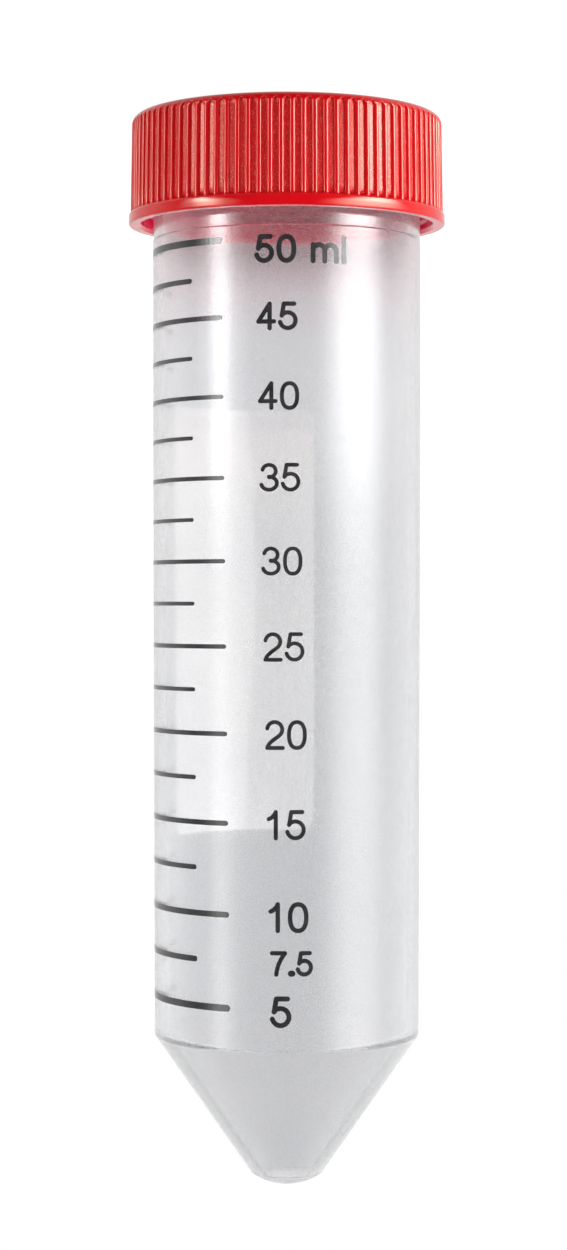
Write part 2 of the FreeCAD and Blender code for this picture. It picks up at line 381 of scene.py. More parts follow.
# %% One slice of the cap, from the middle of its top, round the mouth, to the middle inside
HALF_FINE = [0.32, 0.62, 0.88, 1.04, 1.12, 1.17, 1.5, 2.0]
FINE = [-a for a in reversed(HALF_FINE)] + [0.0] + HALF_FINE     # degrees, closest at a rib's foot
COARSE = [-HALF_SLICE, 0.0, HALF_SLICE]


def cap_rows():
    """Rows of points down the wall. Each is its angles, and (radius, height) at an angle."""
    edge = soften([(0, 0, 0), (CREST_START, 0, EDGE), (CREST_START, 3, 0)], 9)[1:-1]
    edge = [(p.x, p.y) for p in edge if p.y < FLUTE_START - 0.05]
    rows = [(FINE, lambda a, spot=spot: spot) for spot in [(13.0, 0.0), (15.6, 0.0), *edge]]
    for down in (0.0, 0.05, 0.1, 0.15, 0.2, SINK):
        rows.append((FINE, lambda a, d=down: (outside_radius(a, flute_start(a) + d),
                                              flute_start(a) + d)))
    slope = [FLUTE_STOP + share * (FLANGE_START - FLUTE_STOP)
             for share in (0.12, 0.3, 0.5, 0.7, 0.85)]
    for height in (1.15, 2.2, 4.0, 6.0, 8.0, 9.6, FLUTE_STOP, *slope):
        rows.append((FINE, lambda a, h=height: (outside_radius(a, h), h)))
    lip = soften([(FLANGE_RADIUS - 0.08, FLANGE_START - 0.06, 0),
                  (FLANGE_RADIUS, FLANGE_START + 0.02, 0.1),
                  (FLANGE_RADIUS, MOUTH, 0.22), (FLANGE_RADIUS - 0.4, MOUTH, 0)], 4)
    rows += [(FINE, lambda a, p=p: (p.x, p.y)) for p in lip]
    return rows + [(COARSE, lambda a, p=p: (p.x, p.y)) for p in cap_inside()]


def cap_slice():
    """The slice, with a mask on the floor of a flute and one for the painted shade inside the cap.
    """
    points, grained, painted_shade_inside, index = [(0, 0, 0)], [0.0], [0.0], []
    for angles, place in cap_rows():
        index.append(range(len(points), len(points) + len(angles)))
        for angle in angles:
            radius, height = place(angle)
            turned = math.radians(angle)
            points.append((radius * math.cos(turned), radius * math.sin(turned), height))
            outside = angles is FINE
            in_flute = abs(angle) >= RIB_EDGE and flute_start(angle) < height <= FLUTE_STOP
            grained.append(1.0 if outside and in_flute else 0.0)
            painted_shade_inside.append(1.0 if not outside and radius < CAP_BORE + 0.1 else 0.0)
    points.append((0, 0, RIM))
    grained.append(0.0)
    painted_shade_inside.append(1.0)

    faces = [(0, *index[0])]
    for low, high in zip(index, index[1:]):
        if len(low) == len(high):
            faces += [(low[i], high[i], high[i + 1], low[i + 1]) for i in range(len(low) - 1)]
        else:
            faces.append((*high, *reversed(low)))
    faces.append((len(points) - 1, *reversed(index[-1])))
    piece = make_object("cap_moulding", points, faces)
    for name, values in (("grained", grained), ("painted_shade_inside", painted_shade_inside)):
        piece.data.attributes.new(name, "FLOAT", "POINT").data.foreach_set("value", values)
    return piece


cap_moulding = cap_slice()
print("one slice of the cap:", len(cap_moulding.data.polygons), "faces")

# %% [markdown]
# The tree takes the slice as its geometry, sets a copy of it on each of ninety points, all on
# the axis, and turns copy number n by n times four degrees. Neighbours share their cut edges,
# so after the copies are made real, merging points that coincide leaves one closed skin.

# %% Tree: repeat a slice round the axis
def round_tree():
    tree = Tree("repeat_round", [
        ("Geometry", "NodeSocketGeometry"),
        ("Count", "NodeSocketInt", 12),
        ("Weld", "NodeSocketFloat", 0.003 * MM),
        ("Finish", "NodeSocketMaterial"),
    ])
    turn = tree.times(tree.over(tree.add("GeometryNodeInputIndex"), tree.given("Count")), math.tau)
    rotation = tree.add("ShaderNodeCombineXYZ", 0.0, 0.0, turn)
    real = tree.copies(tree.given("Geometry"), tree.given("Count"), rotation)
    skin = tree.add("GeometryNodeMergeByDistance", real, None, tree.given("Weld"))
    smooth = tree.add("GeometryNodeSetShadeSmooth", skin)
    return tree.finish(tree.add("GeometryNodeSetMaterial", smooth, None, tree.given("Finish")))


red_plastic = bpy.data.materials.new("red_plastic")
run_tree(cap_moulding, round_tree(), Count=RIB_COUNT, Finish=red_plastic)
run_tree(cap_moulding, raise_thread, Core_Radius=CAP_BORE * MM, Outwards=-1.0,
         First_Height=(RIM + 2.9) * MM, Last_Height=(MOUTH - 0.9) * MM)
volume = point_outwards(cap_moulding.data)
print("cap:", len(cap_moulding.data.vertices), "points,", round(volume / MM ** 3), "cubic mm")
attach(cap_moulding, "cap")
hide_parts("cap")

# %% [markdown]
# ## The tube
# The tube is a turned form: its wall has one section all the way round. A Screw modifier
# would turn it, but a tree shows what turning is: a grid whose rows are the section's points
# and whose columns are angles, each point set to its radius at its angle. A fine groove marks
# where the two halves of the mould part, just below the cap. Its slope faces the reader, so
# it shows as a hairline, which a plain step would not.

# %% Section of the wall, from the middle of the bore's floor out to the middle of the tip
CONE_WALL, FLOOR = 1.3, TIP - 1.4
TIP_RADIUS, TIP_START = 3.8, TIP - 1.2
GROOVE = 0.13                    # depth and width of the parting groove
STRAIGHT = 600                   # rounding so large that the draft begins without an edge


def tube_section():
    shoulder, corner = Vector((SHOULDER_RADIUS, SHOULDER)), Vector((TIP_RADIUS, TIP_START))
    run = (corner - shoulder).normalized()
    inner = shoulder + Vector((-run.y, run.x)) * CONE_WALL
    bore_radius = SHOULDER_RADIUS - CONE_WALL
    bore_end = inner + run * ((bore_radius - inner.x) / run.x)
    floor_corner = inner + run * ((FLOOR - inner.y) / run.y)
    rise = TIP - TIP_START
    sphere = (TIP_RADIUS ** 2 + rise ** 2) / (2 * rise)
    reach = math.asin(TIP_RADIUS / sphere)
    turns = [reach * share for share in (0.75, 0.5, 0.25, 0.0)]
    nose = [(sphere * math.sin(t), TIP - sphere + sphere * math.cos(t), 0) for t in turns]
    corners = [
        (0, FLOOR, 0), (floor_corner.x, FLOOR, 0.35), (bore_end.x, bore_end.y, 1.2),
        (MOUTH_RADIUS, RIM, 0.3), (RIM_RADIUS, RIM, 0.3), (NECK_RADIUS, PARTING - GROOVE, 0.02),
        (NECK_RADIUS - GROOVE, PARTING, 0.02), (BODY_RADIUS, PARTING, 0.02),
        (BODY_RADIUS, STRAIGHT_END, STRAIGHT), (SHOULDER_RADIUS, SHOULDER, 0.7),
        (TIP_RADIUS, TIP_START, 0.3), *nose,
    ]
    print("bore ends at", round(bore_end.y, 2), "mm")
    print("its floor is", round(floor_corner.x, 2), "mm in radius")
    return hold(refine(soften(corners), 0.15, RIM + 0.3, PARTING))


section = tube_section()
tube_moulding = make_object("tube_moulding", [(p.x, 0, p.y) for p in section],
                            edges=[(i, i + 1) for i in range(len(section) - 1)])
print("wall section:", len(section), "points")


# %% Tree: turn a section round the axis
def turning_tree():
    tree = Tree("turn_section", [
        ("Geometry", "NodeSocketGeometry"),
        ("Steps", "NodeSocketInt", 64),
        ("Weld", "NodeSocketFloat", 0.003 * MM),
        ("Finish", "NodeSocketMaterial"),
    ])
    line, steps = tree.given("Geometry"), tree.given("Steps")
    count = tree.size(line)
    grid = tree.add("GeometryNodeMeshGrid", 1.0, 1.0, tree.plus(steps, 1.0), count, out="Mesh")
    number = tree.add("GeometryNodeInputIndex")
    column = tree.math("FLOOR", tree.over(tree.plus(number, 0.5), count))
    row = tree.minus(number, tree.times(column, count))
    place = tree.add("GeometryNodeSampleIndex", line, tree.add("GeometryNodeInputPosition"), row,
                     data_type="FLOAT_VECTOR", domain="POINT")
    radius, _, height = tree.split(place)
    angle = tree.times(tree.over(column, steps), math.tau)
    spot = tree.add("ShaderNodeCombineXYZ", tree.times(radius, tree.math("COSINE", angle)),
                    tree.times(radius, tree.math("SINE", angle)), height)
    turned = tree.add("GeometryNodeSetPosition", grid, None, spot)
    closed = tree.add("GeometryNodeMergeByDistance", turned, None, tree.given("Weld"))
    smooth = tree.add("GeometryNodeSetShadeSmooth", closed)
    real = tree.add("GeometryNodeRealizeInstances", smooth)
    return tree.finish(tree.add("GeometryNodeSetMaterial", real, None, tree.given("Finish")))


milky_plastic = bpy.data.materials.new("milky_plastic")
run_tree(tube_moulding, turning_tree(), Steps=256, Finish=milky_plastic)
run_tree(tube_moulding, raise_thread, First_Height=(RIM + 1.3) * MM,
         Last_Height=(MOUTH - 1.6) * MM)
volume = point_outwards(tube_moulding.data)
print("tube:", len(tube_moulding.data.vertices), "points,", round(volume / MM ** 3), "cubic mm")
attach(tube_moulding, "tube")
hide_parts("tube")

# %% [markdown]
# ## Print that follows the tube
# Scale, figures and panel are pad-printed ink. It is simplest to draw ink flat, as on paper:
# X runs round the tube, as an arc length, and Y is the height. A small group then bends the
# drawing onto the wall, which narrows a little towards the cone. Every print has a skin a few
# hundredths of a millimetre thick, so that it is a real layer from inside and outside.

# %% Group: a flat place to its place on the tube
INK = 0.03                       # thickness of a layer of ink
LIFT = 0.006                     # a trace of air, so that ink and wall don't share a face


def wrapping_group():
    tree = Tree("wrap_on_tube", [
        ("Angle", "NodeSocketFloat", 0.0),
        ("Height", "NodeSocketFloat", 0.0),
        ("Level", "NodeSocketFloat", 0.0),
    ], outputs=[("Place", "NodeSocketVector")])
    wall = tree.ramp(tree.given("Height"), STRAIGHT_END * MM, SHOULDER * MM,
                     BODY_RADIUS * MM, SHOULDER_RADIUS * MM)
    layer = tree.plus(tree.times(tree.given("Level"), INK * MM), LIFT * MM)
    forward = tree.times(tree.plus(wall, layer), -1.0)
    x = tree.times(forward, tree.math("SINE", tree.given("Angle")))
    y = tree.times(forward, tree.math("COSINE", tree.given("Angle")))
    return tree.finish(tree.add("ShaderNodeCombineXYZ", x, y, tree.given("Height")))


wrap_on_tube = wrapping_group()


def wrap(tree, shape, angle, height, level):
    """Set the points of a shape where the wrapping group puts them, and give it its finish."""
    place = tree.add("GeometryNodeGroup", angle, height, level, node_tree=wrap_on_tube)
    moved = tree.add("GeometryNodeSetPosition", shape, None, place)
    return tree.finish(tree.add("GeometryNodeSetMaterial", moved, None, tree.given("Finish")))


# %% Faces of a slab of ink
def slab_faces(count, base=0, closed=False):
    """Skin of a slab with four points at each of its stations, numbered from base."""
    faces = []
    for i in range(count if closed else count - 1):
        here, there = base + 4 * i, base + 4 * ((i + 1) % count)
        faces += [(here + a, here + b, there + b, there + a)
                  for a, b in ((0, 1), (1, 2), (2, 3), (3, 0))]
    if not closed:
        end = base + 4 * (count - 1)
        faces += [tuple(base + c for c in (3, 2, 1, 0)), tuple(end + c for c in range(4))]
    return faces


# %% [markdown]
# ## The scale
# There is a long line each 5 ml and a short one midway. The bore narrows towards the cone, so
# equal volumes stand a little further apart down the tube. That is a rule, and the tree below
# follows it: line number n has its height, its right end and its thickness worked out from n.
# Two more rules come from the printing pad. It sets the lines a little askew, so their right
# ends drift, and it presses hardest at its ends, so the first and last lines are heavier.
# One bar of unit length is drawn once. Within half a thickness of its ends it is rounded off.

# %% Tree: a ladder of lines on the tube
FIRST_LINE, LINE_PITCH, LINE_GROWTH = 14.93, 8.037, 0.212
LINE_COUNT = 19
LIGHTEST = 0.76                  # thickness of the middle lines, as a share of the full one
SHORT_WEIGHT = 0.91              # thickness and drift of a short line, as shares of a long one's
SHORT_DRIFT = 0.78
ROUNDED = 1.02                   # just over 1, so that no end closes to nothing


def line_height(step):
    """Height of a long line; half steps are the short ones."""
    return FIRST_LINE + LINE_PITCH * step + LINE_GROWTH * step * (step - 1) / 2


def unit_bar():
    """A bar from 0 to 1 along X, from -1 to 1 along Y and from 0 to 1 in thickness."""
    ends, middle_steps = [0.0, 0.0008, 0.0026, 0.0055, 0.0095, 0.014], 34
    middle = [ends[-1] + (1 - 2 * ends[-1]) * i / middle_steps for i in range(1, middle_steps)]
    along = ends + middle + [1 - e for e in reversed(ends)]
    corners = ((-1, 0), (1, 0), (1, 1), (-1, 1))
    points = [(u / MM, v / MM, w / MM) for u in along for v, w in corners]
    return make_object("scale_lines", points, slab_faces(len(along)))


def ladder_tree():
    tree = Tree("scale_ladder", [
        ("Geometry", "NodeSocketGeometry"),
        ("Count", "NodeSocketInt", LINE_COUNT),
        ("First Height", "NodeSocketFloat", 0.0),
        ("Pitch", "NodeSocketFloat", 0.01),
        ("Growth", "NodeSocketFloat", 0.0),
        ("Left End", "NodeSocketFloat", -1.0),
        ("Long End", "NodeSocketFloat", 0.0),
        ("Short End", "NodeSocketFloat", -0.5),
        ("Drift", "NodeSocketFloat", 0.0),
        ("Thickness", "NodeSocketFloat", 0.5 * MM),
        ("Heavier Ends", "NodeSocketFloat", 0.0),
        ("Finish", "NodeSocketMaterial"),
    ])
    bar, count, left = tree.given("Geometry"), tree.given("Count"), tree.given("Left End")
    bars = tree.copies(bar, count)
    number = tree.add("GeometryNodeInputIndex")
    line = tree.math("FLOOR", tree.over(tree.plus(number, 0.5), tree.size(bar)))
    step = tree.times(line, 0.5)
    share = tree.over(line, tree.minus(count, 1.0))
    short = tree.times(tree.math("FRACT", step), 2.0)
    bowed = tree.times(tree.times(step, tree.minus(step, 1.0)), 0.5)
    middle = tree.plus(tree.given("First Height"), tree.times(step, tree.given("Pitch")))
    middle = tree.plus(middle, tree.times(bowed, tree.given("Growth")))
    right = tree.ramp(short, 0.0, 1.0, tree.given("Long End"), tree.given("Short End"))
    drift = tree.times(tree.given("Drift"), tree.ramp(short, 0.0, 1.0, 1.0, SHORT_DRIFT))
    right = tree.plus(right, tree.times(share, drift))
    first_ones = tree.math("POWER", tree.minus(1.0, share), 10.0)
    last_ones = tree.math("POWER", share, 4.0)
    heavier = tree.times(tree.plus(first_ones, last_ones), tree.given("Heavier Ends"))
    weight = tree.plus(LIGHTEST, heavier)
    weight = tree.times(weight, tree.ramp(short, 0.0, 1.0, 1.0, SHORT_WEIGHT))
    half = tree.times(tree.times(tree.given("Thickness"), weight), 0.5)
    u, v, w = tree.split(tree.add("GeometryNodeInputPosition"))
    sweep = tree.minus(right, left)
    angle = tree.plus(left, tree.times(sweep, u))
    nearer = tree.math("MINIMUM", u, tree.minus(1.0, u))
    to_end = tree.times(tree.times(nearer, sweep), BODY_RADIUS * MM)
    inset = tree.minus(1.0, tree.math("MINIMUM", tree.over(to_end, half), 1.0))
    swell = tree.math("SQRT", tree.minus(ROUNDED, tree.times(inset, inset)))
    height = tree.plus(middle, tree.times(tree.times(v, half), swell))
    return wrap(tree, bars, angle, height, w)


black_ink = bpy.data.materials.new("black_ink")
scale_lines = unit_bar()
run_tree(scale_lines, ladder_tree(), Count=LINE_COUNT, First_Height=FIRST_LINE * MM,
         Pitch=LINE_PITCH * MM, Growth=LINE_GROWTH * MM, Left_End=math.radians(-108),
         Long_End=math.radians(-27.9), Short_End=math.radians(-43.5), Drift=math.radians(3.6),
         Thickness=0.575 * MM, Heavier_Ends=0.5, Finish=black_ink)
point_outwards(scale_lines.data)
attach(scale_lines, "tube")
print("scale:", LINE_COUNT, "lines, from", FIRST_LINE, "to", round(line_height(9), 1), "mm")

# %% [markdown]
# ## The figures
# A font would bring its own weights, so the figures are drawn as pen strokes with round ends,
# which is also how such plain figures look. Each figure is a few centre lines in a box about
# 1.6 mm wide and 2.6 mm high, and a stroke is a band of even width along its line.

# %% Centre lines of the figures
def arc(x, y, wide, high, start, end, steps=14):
    """Part of an oval, from one angle to another, in degrees."""
    turns = [math.radians(start + (end - start) * s / steps) for s in range(steps + 1)]
    return [(x + wide * math.cos(t), y + high * math.sin(t)) for t in turns]


def bend(a, b, c, d, steps=10):
    """A curve from a to d that leaves towards b and arrives from c."""
    shares = [s / steps for s in range(steps + 1)]
    return [tuple((1 - t) ** 3 * p + 3 * t * (1 - t) ** 2 * q + 3 * t * t * (1 - t) * r + t ** 3 * s
                  for p, q, r, s in zip(a, b, c, d)) for t in shares]


def oval(x, y, wide, high, steps=32):
    """A closed oval with slightly straight sides."""
    def flat(value, power=0.86):
        return math.copysign(abs(value) ** power, value)
    turns = [math.tau * s / steps for s in range(steps)]
    return [(x + wide * flat(math.cos(t)), y + high * flat(math.sin(t))) for t in turns]


TALL = 2.6                       # height of a figure's box
FIGURES = {                      # width of the box, then strokes
    "0": (1.6, [oval(0.8, 1.3, 0.8, 1.3)]),
    "1": (1.25, [[(0.7, 0.0), (0.7, 2.6)],
                 bend((0.7, 2.6), (0.55, 2.25), (0.3, 2.0), (0.0, 1.9))]),
    "2": (1.6, [arc(0.79, 1.85, 0.76, 0.75, 172, -32)
                + bend((1.43, 1.45), (1.2, 1.05), (0.2, 0.7), (0.03, 0.0))[1:],
                [(0.03, 0.0), (1.6, 0.0)]]),
    "3": (1.6, [arc(0.78, 1.95, 0.70, 0.65, 168, -90), arc(0.78, 0.68, 0.82, 0.68, 92, -168)]),
    "4": (1.65, [[(1.2, 0.0), (1.2, 2.6)], [(1.2, 2.6), (0.0, 0.72)], [(0.0, 0.72), (1.65, 0.72)]]),
    "5": (1.6, [[(1.45, 2.6), (0.36, 2.6)], [(0.36, 2.6), (0.14, 1.33)],
                arc(0.77, 0.84, 0.83, 0.84, 140, -166)]),
    "7": (1.6, [[(0.0, 2.6), (1.6, 2.6)],
                bend((1.6, 2.6), (1.05, 1.95), (0.62, 1.0), (0.52, 0.0))]),
    ".": (0.2, [[(0.0, 0.12), (0.2, 0.12)]]),
    "m": (2.75, [[(0.0, 0.0), (0.0, 1.75)],
                 [(1.3, 0.0), (1.3, 1.1)] + arc(0.65, 1.1, 0.65, 0.65, 0, 160)[1:],
                 [(2.6, 0.0), (2.6, 1.1)] + arc(1.95, 1.1, 0.65, 0.65, 0, 160)[1:]]),
    "l": (0.0, [[(0.0, 0.0), (0.0, 2.55)]]),
}
CLOSED = {"0"}


# %% A band of ink along a line, and whole words of them
DENSE = 0.35                     # longest run of a band between two of its stations
ROUND_END = (0.12, 0.5, 0.95, 1.3)   # angles of the stations round an end, in radians
SPACE, DOT = 1.25, 1.4           # width of a space, and how much heavier the point is


def add_band(points, faces, line, width, closed=False):
    """Add a closed slab of even width along a line, with round ends where it is open."""
    path = [Vector(p) for p in line]
    dense = []
    for a, b in zip(path, path[1:] + (path[:1] if closed else [])):
        count = max(1, math.ceil((b - a).length / DENSE))
        dense += [a.lerp(b, s / count) for s in range(count)]
    if not closed:
        dense.append(path[-1])
    last = len(dense) - 1

    def station(spot, along, side, t):
        """Two points across the end of a band, at an angle of its rounding."""
        out, across = along * width / 2 * math.cos(t), side * math.sin(t)
        return spot + out + across, spot + out - across

    pairs = []
    for i, spot in enumerate(dense):
        before = dense[i - 1] if i > 0 or closed else spot
        after = dense[(i + 1) % len(dense)] if i < last or closed else spot
        along = (after - before).normalized()
        side = Vector((-along.y, along.x)) * width / 2
        if not closed and i == 0:
            pairs += [station(spot, -along, side, t) for t in ROUND_END]
        pairs.append((spot + side, spot - side))
        if not closed and i == last:
            pairs += [station(spot, along, side, t) for t in reversed(ROUND_END)]
    faces += slab_faces(len(pairs), len(points), closed)
    for left, right in pairs:
        points += [(*left, 0), (*right, 0), (*right, 1), (*left, 1)]


def add_word(points, faces, text, left, middle, size, pen, gap=0.22):
    """Write figures along X from the left, upright towards the cap, centred on a height."""
    at = left + pen / 2
    for sign in text:
        if sign == " ":
            at += SPACE
            continue
        wide, strokes = FIGURES[sign]
        for stroke in strokes:
            line = [(at + x * size, middle + (TALL / 2 - y) * size) for x, y in stroke]
            add_band(points, faces, line, pen * DOT if sign == "." else pen, sign in CLOSED)
        at += wide * size + gap + pen


# %% [markdown]
# The figures stand beside their lines, except the topmost, which sits a little lower to clear
# the parting line. Their left edges drift slightly to one side, as the lines' ends do, and
# the pen is heavier towards both ends of the scale. The 7.5 is smaller and stands by itself.

# %% Write all the figures, flat
WRAP_RADIUS = BODY_RADIUS - 0.1  # turns an arc length into an angle
LABELS = ["50 ml", "45", "40", "35", "30", "25", "20", "15", "10", "5"]


def flat_figures():
    points, faces = [], []
    for step, text in enumerate(LABELS):
        share = step / (len(LABELS) - 1)
        left = math.radians(-13.3 + 6.4 * share) * WRAP_RADIUS
        height = line_height(step) + (1.05 if step == 0 else 0.22 * share ** 4)
        pen = 0.39 + 0.14 * share ** 4 + 0.13 * (1 - share) ** 5
        add_word(points, faces, text, left, height, 0.96 + 0.012 * step, pen)
    left = math.radians(-7.0) * WRAP_RADIUS
    add_word(points, faces, "7.5", left, 90.1, 0.85, 0.45, 0.14)
    return make_object("figures", points, faces)


def flat_print_tree():
    tree = Tree("print_on_tube", [
        ("Geometry", "NodeSocketGeometry"),
        ("Arc Radius", "NodeSocketFloat", 0.01),
        ("Finish", "NodeSocketMaterial"),
    ])
    x, y, z = tree.split(tree.add("GeometryNodeInputPosition"))
    angle, level = tree.over(x, tree.given("Arc Radius")), tree.over(z, MM)
    return wrap(tree, tree.given("Geometry"), angle, y, level)


print_on_tube = flat_print_tree()
figures = flat_figures()
run_tree(figures, print_on_tube, Arc_Radius=WRAP_RADIUS * MM, Finish=black_ink)
point_outwards(figures.data)
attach(figures, "tube")
print("figures:", len(figures.data.polygons), "faces")

# %% [markdown]
# ## The writing panel
# Opposite the figures the tube carries a plain white panel for pencil or pen. It is a rounded
# rectangle of matt ink, and from the front it shows through both walls as a paler field. It
# is drawn as columns, close enough together to follow the wall's curve.

# %% Draw and wrap the panel
PANEL_ANGLES = (167, 250)        # its left and right edge, in degrees from the figures
PANEL_HEIGHTS = (31.0, 78.4)


def flat_panel(corner=1.2, columns=64):
    left, right = (math.radians(angle) * WRAP_RADIUS for angle in PANEL_ANGLES)
    low, high = PANEL_HEIGHTS
    points = []
    for i in range(columns + 1):
        x = left + (right - left) * i / columns
        inset = max(0.0, corner - min(x - left, right - x))
        cut = corner - math.sqrt(max(0.0, corner ** 2 - inset ** 2))
        points += [(x, low + cut, 0), (x, high - cut, 0), (x, high - cut, 1), (x, low + cut, 1)]
    return make_object("writing_panel", points, slab_faces(columns + 1))


white_ink = bpy.data.materials.new("white_ink")
writing_panel = flat_panel()
run_tree(writing_panel, print_on_tube, Arc_Radius=WRAP_RADIUS * MM, Finish=white_ink)
point_outwards(writing_panel.data)
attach(writing_panel, "tube")

# %% [markdown]
# ## Finishes
# Grain and handling marks turn up in several finishes, so each is a shader group, made once.
# A group puts out plain masks and heights. The shader itself stays in each material, where it
# is mixed with that finish's own colours and values.

# %% What the finishes have in common
NUMBER = "NodeSocketFloat"


def blank(thing):
    """A writer for the emptied nodes of a material, a lamp or the world."""
    thing.use_nodes = True
    thing.node_tree.nodes.clear()
    return Writer(thing.node_tree)


def blend(pen, share, a, b, kind="RGBA"):
    """a where share is 0, b where it is 1."""
    return pen.add("ShaderNodeMix", share, a, b, data_type=kind)


def noise(pen, place, scale, detail, rough=0.5):
    return pen.add("ShaderNodeTexNoise", out="Fac", named={
        "Vector": place, "Scale": scale, "Detail": detail, "Roughness": rough})


def bump(pen, height, depth, strength=1.0):
    """The normal of a surface with this relief, whose depth is in millimetres."""
    return pen.add("ShaderNodeBump", named={
        "Height": height, "Distance": depth * MM, "Strength": strength})


def use_group(pen, group, **values):
    return pen.add("ShaderNodeGroup", named=values, node_tree=group).node.outputs


def surface(pen, **values):
    """The Principled shader, with its inputs by name."""
    named = {key.replace("_", " "): value for key, value in values.items()}
    return pen.add("ShaderNodeBsdfPrincipled", named=named)


# %% Group: grain, from a fine spark-eroded surface to slow cloudiness
def grain_group():
    pen = Tree("moulded_grain", [("Grain", NUMBER, 9000.0), ("Clouds", NUMBER, 90.0)],
               [("Grain", NUMBER), ("Clouds", NUMBER)], "ShaderNodeTree")
    place = pen.add("ShaderNodeTexCoord", out="Object")
    fine = noise(pen, place, pen.given("Grain"), 2.0, 0.6)
    slow = noise(pen, place, pen.given("Clouds"), 3.0)
    return pen.finish(pen.ramp(fine, 0.32, 0.68), pen.ramp(slow, 0.35, 0.65))


# %% Group: fine scuffs round the part and specks of dust
def wear_group():
    pen = Tree("handling_marks", [("Scuffs", NUMBER, 0.3), ("Dust", NUMBER, 0.3)],
               [("Scuffs", NUMBER), ("Dust", NUMBER)], "ShaderNodeTree")
    place = pen.add("ShaderNodeTexCoord", out="Object")
    drawn = pen.add("ShaderNodeMapping", named={
        "Vector": place, "Scale": (260.0, 260.0, 2600.0)})
    streak = pen.ramp(noise(pen, drawn, 1.0, 2.0), 0.62, 0.75)
    patch = pen.ramp(noise(pen, place, 160.0, 2.0), 0.5, 0.7)
    cells = pen.add("ShaderNodeTexVoronoi", out="Distance", named={
        "Vector": place, "Scale": 420.0, "Randomness": 1.0})
    speck = pen.ramp(cells, 0.02, 0.05, 1.0, 0.0)
    return pen.finish(pen.times(pen.times(streak, patch), pen.given("Scuffs")),
                      pen.times(speck, pen.given("Dust")))


moulded_grain, handling_marks = grain_group(), wear_group()

# %% [markdown]
# ** Red polyethylene.** The ribs, flange and top are smooth and glossy, and what they mirror
# is a little warm. The floors of the flutes are spark-eroded in the mould, so they carry a fine
# relief, and single grains there are also painted pale pink: painted glints that stand in for
# grains catching the light. The slice carries two masks: `grained` says where the flutes are,
# and another says where the cap's underside is, whose red is painted darker and bluer, a
# painted shade.

# %% Finish of the cap
def make_red():
    pen = blank(red_plastic)
    grain = use_group(pen, moulded_grain, Grain=5500.0, Clouds=150.0)
    marks = use_group(pen, handling_marks, Scuffs=0.5, Dust=0.25)
    flute = pen.add("ShaderNodeAttribute", out="Fac", attribute_name="grained")
    painted_shade_inside = pen.add("ShaderNodeAttribute", out="Fac", attribute_name="painted_shade_inside")
    red = blend(pen, grain["Clouds"], (0.585, 0.001, 0.006), (0.645, 0.0015, 0.0075))
    # painted shade: the cap's underside gets a darker, bluer red than the outside
    red = blend(pen, painted_shade_inside, red, (0.48, 0.002, 0.036))
    # painted glints: grains on the flute floors are made pale pink in the base colour
    painted_glints = pen.times(pen.smooth(grain["Grain"], 0.62, 1.0, 0.0, 0.28), flute)
    red = blend(pen, painted_glints, red, (0.92, 0.29, 0.22))
    red = blend(pen, pen.times(marks["Dust"], 0.5), red, (0.80, 0.35, 0.32))
    rough = pen.plus(0.09, pen.times(flute, 0.12))
    rough = pen.plus(rough, pen.times(marks["Scuffs"], 0.25))
    relief = pen.times(grain["Grain"], pen.plus(pen.times(flute, 0.96), 0.04))
    shader = surface(pen, Base_Color=red, Roughness=rough, Normal=bump(pen, relief, 0.012),
                     IOR=1.57, Specular_Tint=(1.0, 0.9, 0.72))
    pen.add("ShaderNodeOutputMaterial", shader)


make_red()

# %% [markdown]
# **Milky polypropylene.** It passes most light, so it is a glass whose surface is a little
# rough, with a thin coat and sheen. Fine grains of it are hazier, which gives the milkiness
# its sparkle. Where a ray goes through more wall, near the outline and in the cone, it loses
# more by itself. Shadow rays pass straight through, so that the print on the far wall and
# the cap's inside get their light.

# %% Finish of the tube
def make_milky():
    pen = blank(milky_plastic)
    grain = use_group(pen, moulded_grain, Grain=16000.0, Clouds=60.0)
    marks = use_group(pen, handling_marks, Scuffs=0.6, Dust=0.4)
    tint = blend(pen, grain["Clouds"], (0.90, 0.908, 0.925), (0.925, 0.932, 0.945))
    tint = blend(pen, marks["Dust"], tint, (0.97, 0.97, 0.97))
    hazy = pen.math("GREATER_THAN", grain["Grain"], 0.78)
    rough = pen.plus(0.09, pen.times(hazy, 0.42))
    rough = pen.plus(rough, pen.times(marks["Scuffs"], 0.2))
    shader = surface(pen, Base_Color=tint, Roughness=rough, IOR=1.49,
                     Normal=bump(pen, grain["Clouds"], 0.01, 0.05), Transmission_Weight=0.995,
                     Coat_Weight=0.4, Coat_Roughness=0.12,
                     Sheen_Weight=0.4, Sheen_Roughness=0.45)
    passing = pen.add("ShaderNodeBsdfTransparent", (0.96, 0.96, 0.96))
    shadow = pen.add("ShaderNodeLightPath", out="Is Shadow Ray")
    both = pen.add("ShaderNodeMixShader", shadow, shader, passing)
    pen.add("ShaderNodeOutputMaterial", both)


make_milky()

# %% [markdown]
# **Inks.** Pad-printed ink is not one flat tone: it lies thinner in places and shows fine
# speckles. The same grain group gives that to both inks. The charcoal of the scale is glossy,
# so where a line comes round to a lamp its end turns grey. The white of the panel is matt.

# %% Finishes of the print
def make_ink(material, thin, full, rough, ior):
    pen = blank(material)
    grain = use_group(pen, moulded_grain, Grain=6000.0, Clouds=700.0)
    share = pen.plus(pen.times(grain["Clouds"], 0.7), pen.times(grain["Grain"], 0.3))
    shader = surface(pen, Base_Color=blend(pen, share, thin, full), IOR=ior,
                     Normal=bump(pen, grain["Grain"], 0.01, 0.15),
                     Roughness=pen.ramp(grain["Clouds"], 0.0, 1.0, rough, rough + 0.12))
    pen.add("ShaderNodeOutputMaterial", shader)


make_ink(black_ink, (0.042, 0.040, 0.042), (0.018, 0.017, 0.019), 0.1, 1.6)
make_ink(white_ink, (0.86, 0.84, 0.81), (0.91, 0.89, 0.86), 0.55, 1.5)
